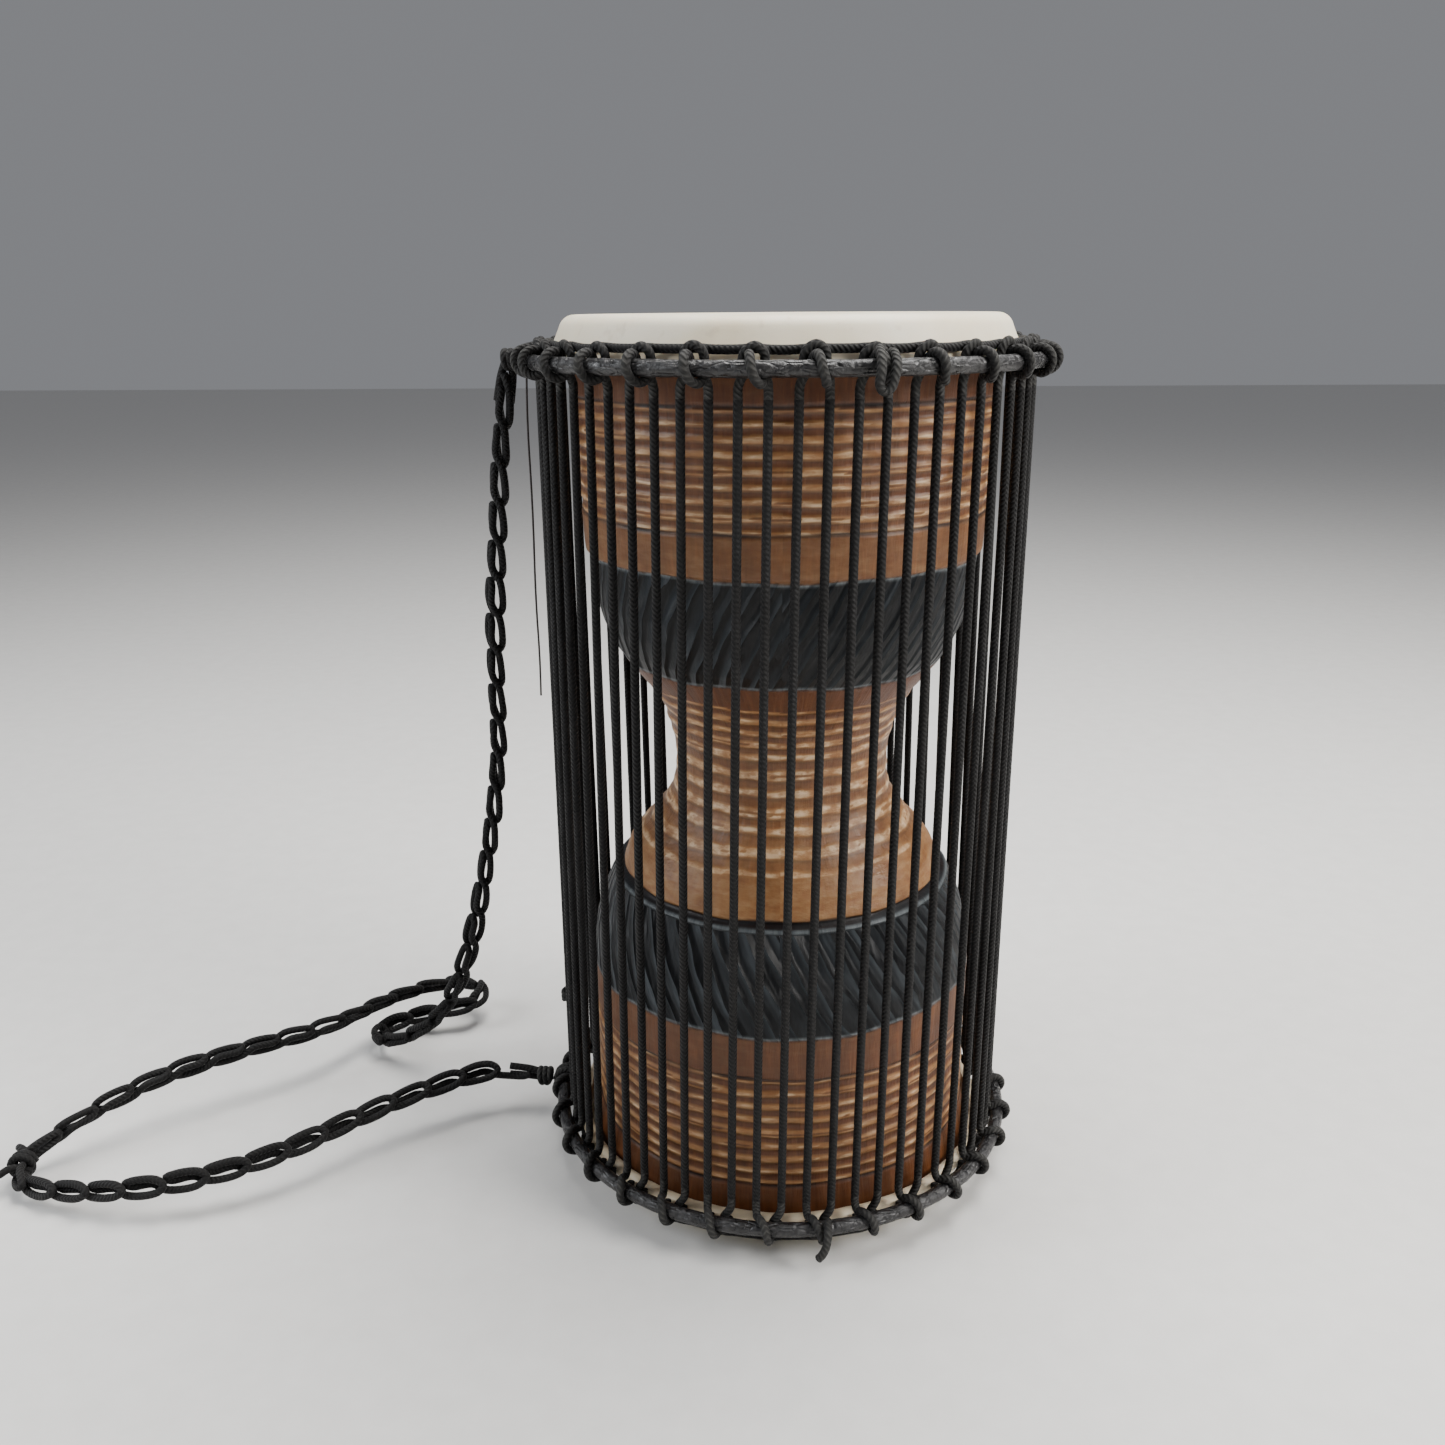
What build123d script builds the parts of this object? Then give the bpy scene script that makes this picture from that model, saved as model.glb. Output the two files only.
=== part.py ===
from build123d import *
from math import asin, atan2, cos, degrees, hypot, radians, sin, tan
import os

# Talking drum: an hourglass shell with a skin on each end, a wrapped ring round each skin,
# and one tension cord laced up and down between the rings.
# Origin: centre of the lower head's flat face. +Z runs up the drum's axis, -Y is its front.

# Overall
HEIGHT = 441.4            # lower head's face to upper head's face
RING_DEPTH = 20.0         # each ring's centre, measured in from its head's face
RING_R = 122.0            # ring centre line
RING_TUBE = 7.0           # wrapped ring, outside diameter
ROD = 5.0                 # steel rod inside the wrapping
CORD = 4.0                # tension cord, crown cord and strap cord

# Heads
SKIN_T = 1.0
FLAT_R = 99.0             # flat part of a head
SHOULDER = 7.5            # outside radius of the rounded edge
HOOP_R = 109.5            # flesh hoop centre line
TOP_HOOP_DEPTH, BOTTOM_HOOP_DEPTH = 20.0, 15.5
HOOP_TUBE = 5.0

# Lacing
STATIONS = 30
STEP = 360 / STATIONS
TWIST = 2.2               # the cords lean this many degrees between the rings
WRAP = RING_TUBE / 2 + CORD / 2 + 0.25
CORD_R = RING_R - WRAP    # circle the tension cords stand on
RUN_END = 12.0            # a cord's straight run stops this far from the ring's centre height
FIRST_TOP = 6.0           # first station of the upper ring, degrees from the front
FIRST_BOTTOM = FIRST_TOP - STEP / 2 - TWIST
TOP_CROWN, BOTTOM_CROWN = (112.3, 13.0), (111.1, 8.0)     # radius, and depth from the head's face
GRIP_LOW, GRIP_HIGH = 171.0, 271.0   # the squeezed length of the front and back cords
SQUEEZED = 6              # cords each side of the centre in a squeezed group

# Strap and loose thread
STRAP_D = 12.0
THREAD_D = 1.0

Z_LOW = RING_DEPTH
Z_HIGH = HEIGHT - RING_DEPTH
os.makedirs("parts", exist_ok=True)


def save(name, solids):
    """One STEP file per node, its solids kept separate."""
    solids = list(solids)
    export_step(solids[0] if len(solids) == 1 else Compound(children=solids), f"parts/{name}.step")
    print(name, len(solids), round(sum(s.volume for s in solids)))


def turned(outline):
    """The solid that a closed outline in radius and height sweeps round the axis."""
    return revolve(Plane.XZ * make_face(outline), Axis.Z).solid()


def upside_down(solid):
    """The same solid at the drum's other end."""
    return Pos(0, 0, HEIGHT) * solid.mirror(Plane.XY)


def torus_on_axis(major, minor, z):
    return Pos(0, 0, z) * Torus(major, minor).solid()


def tube(path, diameter):
    """A round cord along a path."""
    start = Plane(path @ 0, z_dir=path % 0)
    return sweep(start * Circle(diameter / 2), path, transition=Transition.RIGHT).solid()


def at(angle, radius, z):
    """A point on the drum, its angle counted from the front towards +X."""
    return Vector(radius * sin(radians(angle)), -radius * cos(radians(angle)), z)


# --- Shell -----------------------------------------------------------------------------

def flutes(z_start, z_end, r_start, r_end, count, depth):
    """Shallow hollows carved round the bowl, one above another."""
    arcs = []
    for i in range(count):
        a, b, m = i / count, (i + 1) / count, (i + 0.5) / count
        za, zb, zm = (z_start + (z_end - z_start) * t for t in (a, b, m))
        ra, rb, rm = (r_start + (r_end - r_start) * t for t in (a, b, m))
        arcs.append(ThreePointArc((ra, za), (rm - depth, zm), (rb, zb)))
    return arcs


def groove(z, r, width, depth):
    """A V cut into the wall."""
    return [Line((r, z - width / 2), (r - depth, z)), Line((r - depth, z), (r, z + width / 2))]


def wall(points):
    return [Line(a, b) for a, b in zip(points, points[1:])]


def waist(points):
    """The narrow part: smooth wall with a V groove cut at each of the points."""
    cut = 0.7
    edges = []
    for (ra, za), (rb, zb) in zip(points, points[1:]):
        edges.append(Line((ra, za + cut), (rb, zb - cut)))
    for r, z in points[1:-1]:
        edges += groove(z, r, 2 * cut, cut)
    return edges


RIM_IN = 94.0
RIM_ROUND = SHOULDER - SKIN_T
lower_rim = [
    Line((RIM_IN, SKIN_T), (FLAT_R, SKIN_T)),
    RadiusArc((FLAT_R, SKIN_T), (FLAT_R + RIM_ROUND, SHOULDER), -RIM_ROUND),
    *wall([(FLAT_R + RIM_ROUND, SHOULDER), (103.0, 20.0), (101.4, 28.2)]),
    *groove(28.9, 101.4, 1.4, 1.2),
]
lower_bowl = [
    *flutes(29.6, 87.7, 101.4, 101.0, 8, 1.1),
    *groove(88.4, 101.0, 1.4, 1.2),
    Spline((101.0, 89.1), (101.2, 111.0), (99.4, 132.0), (92.8, 152.8), (88.4, 161.6)),
    *wall([(88.4, 161.6), (87.6, 162.5), (84.3, 162.5)]),
    *groove(163.2, 84.3, 1.4, 1.2),
    Spline((84.3, 163.9), (80.0, 175.0), (74.0, 182.3)),
]
waist_points = [(74.0, 181.6), (66.4, 191.6), (59.4, 201.2), (56.5, 208.9), (55.2, 218.8),
                (55.4, 228.2), (57.3, 238.6), (60.9, 251.4), (70.6, 265.8), (78.6, 276.0)]
upper_bowl = [
    Spline((78.6, 275.3), (84.9, 285.0), (90.2, 297.0), (93.4, 308.0), (96.0, 331.4)),
    *wall([(96.0, 331.4), (97.6, 332.6), (99.0, 351.2)]),
    *groove(351.9, 99.0, 1.4, 1.2),
    *flutes(352.6, 404.8, 99.0, 102.4, 8, 1.1),
    *groove(405.5, 102.4, 1.4, 1.2),
]
upper_rim = [
    *wall([(102.4, 406.2), (103.0, HEIGHT - 20.0), (FLAT_R + RIM_ROUND, HEIGHT - SHOULDER)]),
    RadiusArc((FLAT_R + RIM_ROUND, HEIGHT - SHOULDER), (FLAT_R, HEIGHT - SKIN_T), -RIM_ROUND),
    Line((FLAT_R, HEIGHT - SKIN_T), (RIM_IN, HEIGHT - SKIN_T)),
]
bore = [
    Spline((RIM_IN, HEIGHT - SKIN_T), (90.0, 350.0), (60.0, 272.0), (45.0, 221.0), (60.0, 168.0),
           (90.0, 95.0), (RIM_IN, SKIN_T)),
]
shell = turned(lower_rim + lower_bowl + waist(waist_points) + upper_bowl + upper_rim + bore)
save("shell", [shell])


# --- Heads and their hoops ---------------------------------------------------------------

def on_circle(centre, radius, degrees):
    return (centre[0] + radius * cos(radians(degrees)), centre[1] + radius * sin(radians(degrees)))


def head(hoop_depth):
    """A skin, lower end up: flat, round the shell's edge, then out and round the flesh hoop."""
    edge, hoop = (FLAT_R, SHOULDER), (HOOP_R, hoop_depth)
    across, down = hoop[0] - edge[0], hoop[1] - edge[1]
    taper = asin((SHOULDER - HOOP_TUBE / 2 - SKIN_T) / hypot(across, down))
    lean = degrees(atan2(down, across) + taper) - 90      # direction the slanting wall faces
    hem = 125.0                                           # how far round the hoop the skin goes
    outer, inner = [], []
    for faces, shoulder_r, hoop_r in ((outer, SHOULDER, HOOP_TUBE / 2 + SKIN_T),
                                      (inner, SHOULDER - SKIN_T, HOOP_TUBE / 2)):
        a = on_circle(edge, shoulder_r, -90)
        b = on_circle(edge, shoulder_r, lean)
        c = on_circle(hoop, hoop_r, lean)
        d = on_circle(hoop, hoop_r, hem)
        faces += [Line((0, a[1]), a), ThreePointArc(a, on_circle(edge, shoulder_r, -60), b),
                  Line(b, c), ThreePointArc(c, on_circle(hoop, hoop_r, 40), d)]
    hem_edge = Line(outer[-1] @ 1, inner[-1] @ 1)
    centre = Line((0, 0), (0, SKIN_T))
    return turned([*outer, *inner, hem_edge, centre])


save("bottom_skin", [head(BOTTOM_HOOP_DEPTH)])
save("top_skin", [upside_down(head(TOP_HOOP_DEPTH))])
save("bottom_flesh_hoop", [torus_on_axis(HOOP_R, HOOP_TUBE / 2, BOTTOM_HOOP_DEPTH)])
save("top_flesh_hoop", [torus_on_axis(HOOP_R, HOOP_TUBE / 2, HEIGHT - TOP_HOOP_DEPTH)])

for end, z in (("bottom", Z_LOW), ("top", Z_HIGH)):
    rod = torus_on_axis(RING_R, ROD / 2, z)
    save(f"{end}_ring_rod", [rod])
    save(f"{end}_ring_hide_wrap", [torus_on_axis(RING_R, RING_TUBE / 2, z) - rod])

save("bottom_crown_cord", [torus_on_axis(BOTTOM_CROWN[0], CORD / 2, BOTTOM_CROWN[1])])
save("top_crown_cord", [torus_on_axis(TOP_CROWN[0], CORD / 2, HEIGHT - TOP_CROWN[1])])


# --- Lacing --------------------------------------------------------------------------------

def cord_point(angle, z):
    """Where the cord that stands at this angle on the upper ring is at a height."""
    low, high = at(angle - TWIST, CORD_R, Z_LOW + RUN_END), at(angle, CORD_R, Z_HIGH - RUN_END)
    return low + (high - low) * ((z - low.Z) / (high.Z - low.Z))


def cord_run(angle, z_low, z_high):
    return tube(Line(cord_point(angle, z_low), cord_point(angle, z_high)), CORD)


def beside_ring(u, out, up):
    """A point beside the upper ring at the front: along it, out from it and above it."""
    return Vector(u, -(RING_R + out), Z_HIGH + up)


def ring_turn():
    """The cord's turn round the upper ring at the front, from one straight run to the next."""
    half = STEP / 4
    corners = [
        cord_point(-half, Z_HIGH - RUN_END),
        cord_point(-half, Z_HIGH - 9),
        beside_ring(-1.1, -WRAP, -1.4),
        beside_ring(-0.9, -WRAP, WRAP),
        beside_ring(0.3, WRAP, WRAP),
        beside_ring(1.6, WRAP, -WRAP - 0.15),
        cord_point(half, Z_HIGH - WRAP - 0.15),
        cord_point(half, Z_HIGH - RUN_END),
    ]
    return tube(FilletPolyline(*corners, radius=[6.0, 4.0, 5.5, 5.5, 5.5, 5.5]), CORD)


def crown_loop():
    """The crown cord's arch at the front, with the ring turn coming out under it."""
    half, slope = 5.2, 0.18
    foot, shoulder = (-6.45, 1.6), (-6.45 + 1.8 * slope, 3.4)
    rise = half / (1 + slope ** 2) ** 0.5
    crest = beside_ring(0, shoulder[0] + rise * slope, shoulder[1] + rise)
    arch = ThreePointArc(beside_ring(-half, *shoulder), crest, beside_ring(half, *shoulder))
    left = Line(beside_ring(-half, *foot), arch @ 0)
    return tube(Wire([left, arch, Line(arch @ 1, beside_ring(half, *foot))]), CORD)


def round_the_ring(solid, first, count=STATIONS):
    return [Rot(0, 0, first + STEP * i) * solid for i in range(count)]


front_turn = ring_turn()
front_loop = crown_loop()
low_turn = upside_down(front_turn.mirror(Plane.YZ))
low_loop = upside_down(front_loop)
save("top_ring_turns", round_the_ring(front_turn, FIRST_TOP))
save("bottom_ring_turns", round_the_ring(low_turn, FIRST_BOTTOM))
save("top_crown_loops", round_the_ring(front_loop, FIRST_TOP))
save("bottom_crown_loops", round_the_ring(low_loop, FIRST_BOTTOM))

# Each station of the upper ring has a cord at either side of it, a quarter step away.
cord_angles = [STEP / 2 * (i + 0.5) for i in range(2 * STATIONS)]
full_low, full_high = Z_LOW + RUN_END, Z_HIGH - RUN_END


def near(angle, centre):
    """True if a cord belongs to the squeezed group round this direction."""
    return abs((angle - centre + 180) % 360 - 180) < SQUEEZED * STEP / 2


for side, centre in (("front", 0), ("back", 180)):
    group = [a for a in cord_angles if near(a, centre)]
    save(f"{side}_cords_lower", [cord_run(a, full_low, GRIP_LOW) for a in group])
    save(f"{side}_cords_grip", [cord_run(a, GRIP_LOW, GRIP_HIGH) for a in group])
    save(f"{side}_cords_upper", [cord_run(a, GRIP_HIGH, full_high) for a in group])

still = [a for a in cord_angles if not near(a, 0) and not near(a, 180)]
save("right_tension_cords", [cord_run(a, full_low, full_high) for a in still if a < 180])
save("left_tension_cords", [cord_run(a, full_low, full_high) for a in still if a > 180])


# --- Knots and ties ------------------------------------------------------------------------

def ring_hitch(angle, z, u):
    """One turn of cord round a ring, this far along it from an angle."""
    turn = Plane((u, -RING_R, z), z_dir=(1, 0, 0)) * Torus(WRAP, CORD / 2)
    return (Rot(0, 0, angle) * turn).solid()


TIE_R = RING_R + WRAP + CORD / 2 + 5.6
TOP_TIE, BOTTOM_TIE = -96.0, -92.2       # where the strap is tied, degrees from the front
for end, angle, z in (("top", TOP_TIE, Z_HIGH - 1), ("bottom", BOTTOM_TIE, Z_LOW)):
    ring_z = Z_HIGH if end == "top" else Z_LOW
    hitches = [ring_hitch(angle, ring_z, u) for u in (-CORD / 2 - 0.02, CORD / 2 + 0.02)]
    centre = at(angle, TIE_R, z)
    knot = Pos(*centre) * Sphere(5.5).solid()
    save(f"strap_{end}_tie", [*hitches, knot])

# A second pass of cord lies over the turn at one station of the upper ring.
KNOT_AT = FIRST_TOP + STEP
knot_low = Plane(at(KNOT_AT, RING_R + WRAP + CORD + 0.2, Z_HIGH - 3.5), z_dir=at(KNOT_AT, 1, 0))
save("front_knot", [(knot_low * Torus(3.4, CORD / 2)).solid()])

# The tension cord's cut end hangs under one station of the lower ring.
TAIL_AT = FIRST_BOTTOM + STEP
tail_top = at(TAIL_AT, RING_R + WRAP + CORD + 0.7, Z_LOW + 3)
tail = tube(Line(tail_top, tail_top + Vector(-2.5, 0, -13)), CORD)
save("cord_tail", [tail])

# Two turns of a splice stand on one cord at the left.
SPLICE_AT = -81.0


def splice_ring(z):
    place = cord_point(SPLICE_AT, z)
    return (Pos(*place) * Torus(CORD / 2 + 1.4, 1.3)).solid()


save("cord_splice", [splice_ring(86.0), splice_ring(82.8)])


# --- Strap and loose thread -----------------------------------------------------------------

def free_cord(name, points, diameter):
    """A tube of straight runs and tangent arcs, each arc as large as its runs allow."""
    pts = [Vector(*p) for p in points]
    radii = []
    for a, b, c in zip(pts, pts[1:], pts[2:]):
        turn = radians((b - a).get_angle(c - b))
        radii.append(0.45 * min((b - a).length, (c - b).length) / tan(turn / 2))
    path = FilletPolyline(*pts, radius=radii)
    solid = tube(path, diameter)
    print(name, "radii", [round(r) for r in radii], "length", round(path.length))
    section = 3.14159 * diameter ** 2 / 4
    print(name, "volume over section times length", round(solid.volume / section / path.length, 4))
    print(name, "lowest", round(solid.bounding_box().min.Z, 2))
    save(name, [solid])


strap_route = [
    (-137, 16, 414.0), (-142, 20, 392), (-148, 26, 350), (-157, 35, 268), (-158, 38, 204),
    (-170, 38, 138), (-184, 39, 78), (-203, 42, 36), (-232, 47, 15), (-252, 56, 10),
    (-253, 72, 9), (-236, 83, 11), (-212, 84, 16), (-194, 91, 18), (-195, 110, 19),
    (-214, 114, 20), (-244, 88, 25), (-272, 36, 30), (-310, 10, 32), (-352, -20, 31),
    (-384, -50, 22), (-404, -70, 12), (-400, -87, 9), (-374, -96, 11), (-322, -103, 19),
    (-268, -82, 22), (-222, -34, 23), (-178, -2, 25), (-155, 8, 23), (-141.3, 6, 21),
]
free_cord("strap", strap_route, STRAP_D)

thread_route = [
    (-121.8, -12.7, 417), (-122.8, -13.4, 396), (-122.2, -12.8, 352), (-123.0, -13.6, 306),
    (-122.4, -13.0, 274), (-122.8, -13.6, 256),
]
free_cord("loose_thread", thread_route, THREAD_D)
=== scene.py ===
import math
import random

import bpy
import numpy as np
from mathutils import Matrix, Vector


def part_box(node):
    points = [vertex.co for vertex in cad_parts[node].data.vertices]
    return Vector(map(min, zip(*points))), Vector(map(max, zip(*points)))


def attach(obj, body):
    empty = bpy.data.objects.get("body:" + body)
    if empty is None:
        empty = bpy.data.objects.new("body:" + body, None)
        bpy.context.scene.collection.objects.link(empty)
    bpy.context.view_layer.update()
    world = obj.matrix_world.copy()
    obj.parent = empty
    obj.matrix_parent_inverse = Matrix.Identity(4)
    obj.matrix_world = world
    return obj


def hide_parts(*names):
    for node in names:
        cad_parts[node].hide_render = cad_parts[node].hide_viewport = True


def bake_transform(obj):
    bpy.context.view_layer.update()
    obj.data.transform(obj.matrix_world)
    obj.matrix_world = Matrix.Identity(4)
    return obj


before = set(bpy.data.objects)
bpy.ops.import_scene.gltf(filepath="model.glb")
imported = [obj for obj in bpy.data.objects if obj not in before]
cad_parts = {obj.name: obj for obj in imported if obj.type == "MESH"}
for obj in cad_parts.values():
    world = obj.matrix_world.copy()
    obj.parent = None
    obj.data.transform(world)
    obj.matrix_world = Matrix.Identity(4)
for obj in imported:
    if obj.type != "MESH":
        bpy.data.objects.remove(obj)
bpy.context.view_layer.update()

RING_BOX, CROWN_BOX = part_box("top_ring_hide_wrap"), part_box("top_crown_cord")
rng = random.Random(7)

# Sizes in metres and degrees. The frame's own boxes give the rings and heads; the rest matches the CAD.
MM = 0.001
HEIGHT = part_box("top_skin")[1][2]
Z_LOW = sum(c[2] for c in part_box("bottom_ring_hide_wrap")) / 2
Z_HIGH = HEIGHT - Z_LOW
RING_TUBE = RING_BOX[1][2] - RING_BOX[0][2]
RING_R = RING_BOX[1][0] - RING_TUBE / 2
CORD = CROWN_BOX[1][2] - CROWN_BOX[0][2]
CORD_GAP = 0.00025      # between a ring and the cord round it
WRAP = RING_TUBE / 2 + CORD / 2 + CORD_GAP      # a turn's distance from the ring's centre line
CORD_R = RING_R - WRAP                          # the straight runs' distance from the axis
RUN_END = 0.012         # how far from the ring's level a straight run of cord ends
STATIONS = 30           # places on each ring where the cord turns
STEP = 360 / STATIONS
TWIST = 2.2             # how far a straight run's foot is turned from its top
FIRST_TOP = 6.0         # where the upper ring's first station is
FIRST_BOTTOM = FIRST_TOP - STEP / 2 - TWIST
GRIP_LOW, GRIP_HIGH = 0.171, 0.271      # the ends of a squeezed cord's middle length
SQUEEZED = 6            # squeezed cords on each side of the middle of the front or back
SPACING = 0.0012        # between the points of a bent cord
STRAND = 0.0040         # the cord that the strap's chain is worked from
BRAIDS = 1.8            # crossings of the braid in one diameter of cord
GOUGES = 118            # slanting gouges in a metre round a charred band
GOUGE_LEAN = 0.55       # how far a gouge goes round for each metre up
SHELL_VALUES = ("tone", "band", "lean", "dark", "pale")     # what the shell's mesh tells its material


# --- Camera, floor and light ----------------------------------------------------------------------

def camera():
    """The viewer stands in front, a little above the upper head, looking down at the drum."""
    place, lens = (0, -0.64375, 0.44486), 32.31
    yaw, down, roll = -0.0476929, 0.310907, -0.0072458
    forward = Vector((math.sin(yaw) * math.cos(down), math.cos(yaw) * math.cos(down), -math.sin(down)))
    right = Vector((math.cos(yaw), -math.sin(yaw), 0))
    up = right.cross(forward)
    across = right * math.cos(roll) + up * math.sin(roll)
    above = up * math.cos(roll) - right * math.sin(roll)
    data = bpy.data.cameras.new("camera")
    data.sensor_width = 36
    data.lens = lens
    data.clip_start = 0.01
    cam = bpy.data.objects.new("camera", data)
    turn = Matrix((across, above, -forward)).transposed().to_4x4()
    cam.matrix_world = Matrix.Translation(place) @ turn
    bpy.context.collection.objects.link(cam)
    bpy.context.scene.camera = cam


def area_light(name, place, aim, size, watts, colour):
    data = bpy.data.lights.new(name, "AREA")
    data.shape = "DISK"
    data.size = size
    data.energy = watts
    data.color = colour
    lamp = bpy.data.objects.new(name, data)
    lamp.location = place
    lamp.rotation_euler = (Vector(aim) - Vector(place)).to_track_quat("-Z", "Y").to_euler()
    bpy.context.collection.objects.link(lamp)


def studio():
    world = bpy.data.worlds.new("studio")
    world.use_nodes = True
    background = world.node_tree.nodes["Background"]
    background.inputs["Color"].default_value = (0.92, 0.94, 1.0, 1)
    background.inputs["Strength"].default_value = 0.24
    bpy.context.scene.world = world
    area_light("overhead", (0.25, 0.30, 1.7), (0, 0, 0.25), 1.2, 44, (1, 0.985, 0.96))
    area_light("left_side", (-1.5, -0.35, 0.95), (0, 0, 0.2), 0.9, 20, (0.94, 0.97, 1))
    area_light("right_side", (1.4, -0.55, 1.0), (0, 0, 0.25), 0.8, 34, (1, 0.98, 0.95))


def floor():
    bpy.ops.mesh.primitive_plane_add(size=14, location=(0, 0, 0))
    plane = bpy.context.object
    plane.name = "floor"
    m = Nodes("floor_paper")
    speckle = m.noise(m.object_place(), 60, 4)
    m.surface(m.ramp(speckle, (0.3, (0.70, 0.69, 0.67)), (0.7, (0.74, 0.73, 0.71))), 0.9,
              m.bump(speckle, 0.05, 0.0005))
    plane.data.materials.append(m.material)


# --- Materials ------------------------------------------------------------------------------------

class Nodes:
    """A short way to write a procedural material."""

    def __init__(self, name):
        self.material = bpy.data.materials.new(name)
        self.material.use_nodes = True
        self.tree = self.material.node_tree
        self.shader = self.tree.nodes["Principled BSDF"]

    def new(self, kind, **settings):
        node = self.tree.nodes.new(kind)
        for key, value in settings.items():
            setattr(node, key, value)
        return node

    def put(self, socket, value):
        if hasattr(value, "is_output"):
            self.tree.links.new(value, socket)
        elif hasattr(value, "__len__") and len(value) == 3 and socket.type == "RGBA":
            socket.default_value = (*value, 1)
        else:
            socket.default_value = value

    def object_place(self):
        return self.new("ShaderNodeTexCoord").outputs["Object"]

    def uv(self):
        return self.new("ShaderNodeTexCoord").outputs["UV"]

    def attribute(self, name):
        return self.new("ShaderNodeAttribute", attribute_name=name).outputs["Fac"]

    def split(self, vector):
        """A vector's X and Y."""
        node = self.new("ShaderNodeSeparateXYZ")
        self.put(node.inputs["Vector"], vector)
        return node.outputs["X"], node.outputs["Y"]

    def stretched(self, vector, scale):
        node = self.new("ShaderNodeMapping")
        self.put(node.inputs["Vector"], vector)
        self.put(node.inputs["Scale"], scale)
        return node.outputs["Vector"]

    def noise(self, vector, scale, detail=3, rough=0.55, warp=0.0):
        node = self.new("ShaderNodeTexNoise")
        self.put(node.inputs["Vector"], vector)
        self.put(node.inputs["Scale"], scale)
        self.put(node.inputs["Detail"], detail)
        self.put(node.inputs["Roughness"], rough)
        self.put(node.inputs["Distortion"], warp)
        return node.outputs["Fac"]

    def cells(self, vector, scale):
        node = self.new("ShaderNodeTexVoronoi", feature="DISTANCE_TO_EDGE")
        self.put(node.inputs["Vector"], vector)
        self.put(node.inputs["Scale"], scale)
        return node.outputs["Distance"]

    def ramp(self, value, *stops):
        node = self.new("ShaderNodeValToRGB")
        self.put(node.inputs["Fac"], value)
        points = node.color_ramp.elements
        for where, _ in stops[2:]:
            points.new(where)
        for point, (where, colour) in zip(points, stops):
            point.position = where
            point.color = (*colour, 1) if hasattr(colour, "__len__") else (colour, colour, colour, 1)
        return node.outputs["Color"]

    def mix(self, share, a, b):
        node = self.new("ShaderNodeMix", data_type="RGBA")
        self.put(node.inputs["Factor"], share)
        self.put(node.inputs["A"], a)
        self.put(node.inputs["B"], b)
        return node.outputs["Result"]

    def times(self, a, b):
        return self.math("MULTIPLY", a, b)

    def math(self, operation, a, b=0.0, c=0.0):
        node = self.new("ShaderNodeMath", operation=operation)
        for socket, value in zip(node.inputs, (a, b, c)):
            self.put(socket, value)
        return node.outputs[0]

    def bump(self, height, strength, distance=0.001, under=None):
        node = self.new("ShaderNodeBump")
        self.put(node.inputs["Height"], height)
        self.put(node.inputs["Strength"], strength)
        self.put(node.inputs["Distance"], distance)
        if under is not None:
            self.put(node.inputs["Normal"], under)
        return node.outputs["Normal"]

    def surface(self, colour, roughness, normal, **others):
        self.put(self.shader.inputs["Base Color"], colour)
        self.put(self.shader.inputs["Roughness"], roughness)
        self.put(self.shader.inputs["Normal"], normal)
        for key, value in others.items():
            self.put(self.shader.inputs[key.replace("_", " ")], value)


def braid_height(m, turns):
    """A herringbone of strands: slanting ridges that change side from column to column."""
    along, around = m.split(m.uv())
    zigzag = m.math("PINGPONG", m.times(around, turns), 1.0)
    ridge = m.math("SINE", m.times(m.math("ADD", along, zigzag), 2 * math.pi))
    seam = m.math("ABSOLUTE", m.math("SUBTRACT", zigzag, 0.5))
    return m.math("SUBTRACT", m.times(ridge, 0.5), m.times(seam, 0.5))


def rope_material(name, dark, dust, worn):
    """Black braided cord, with grey dust where it rubs; the mesh's wear attribute says where."""
    m = Nodes(name)
    braid = braid_height(m, 4)
    fuzz = m.noise(m.object_place(), 900, 3, 0.7)
    patches = m.noise(m.object_place(), 55, 3)
    rub = m.times(m.attribute("wear"), worn)
    rub = m.times(rub, m.ramp(patches, (0.3, 0.35), (0.7, 1.0)))
    high = m.ramp(braid, (0.0, 0.0), (0.5, 1.0))
    lifted = m.times(rub, m.math("ADD", m.times(high, 0.65), 0.35))
    speck = m.times(m.ramp(fuzz, (0.55, 0.0), (0.8, 1.0)), 0.07)
    colour = m.mix(m.math("ADD", lifted, speck), dark, dust)
    fine = m.bump(fuzz, 0.25, 0.0003)
    m.surface(colour, m.ramp(patches, (0.3, 0.62), (0.7, 0.85)), m.bump(braid, 0.55, 0.0007, fine),
              Sheen_Weight=0.04, Sheen_Roughness=0.5, Specular_IOR_Level=0.25)
    return m.material


def hide_material():
    """Black hide, wrinkled where it was bound wet round the ring, worn grey outside."""
    m = Nodes("black_hide")
    place = m.uv()
    folds = m.noise(m.stretched(place, (1.0, 0.6, 1)), 1.6, 5, 0.65, 1.4)
    creases = m.ramp(m.cells(m.stretched(place, (0.5, 1.2, 1)), 2.4), (0.0, 0.0), (0.16, 1.0))
    grain = m.noise(m.object_place(), 1400, 2)
    worn = m.times(m.attribute("wear"), m.ramp(folds, (0.42, 0.1), (0.62, 1.0)))
    colour = m.mix(worn, (0.003, 0.0026, 0.003), (0.038, 0.037, 0.038))
    height = m.math("ADD", m.times(folds, 0.9), m.times(creases, 0.25))
    height = m.math("ADD", height, m.times(grain, 0.05))
    m.surface(colour, m.ramp(folds, (0.3, 0.24), (0.7, 0.42)), m.bump(height, 0.9, 0.0016))
    return m.material


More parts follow.
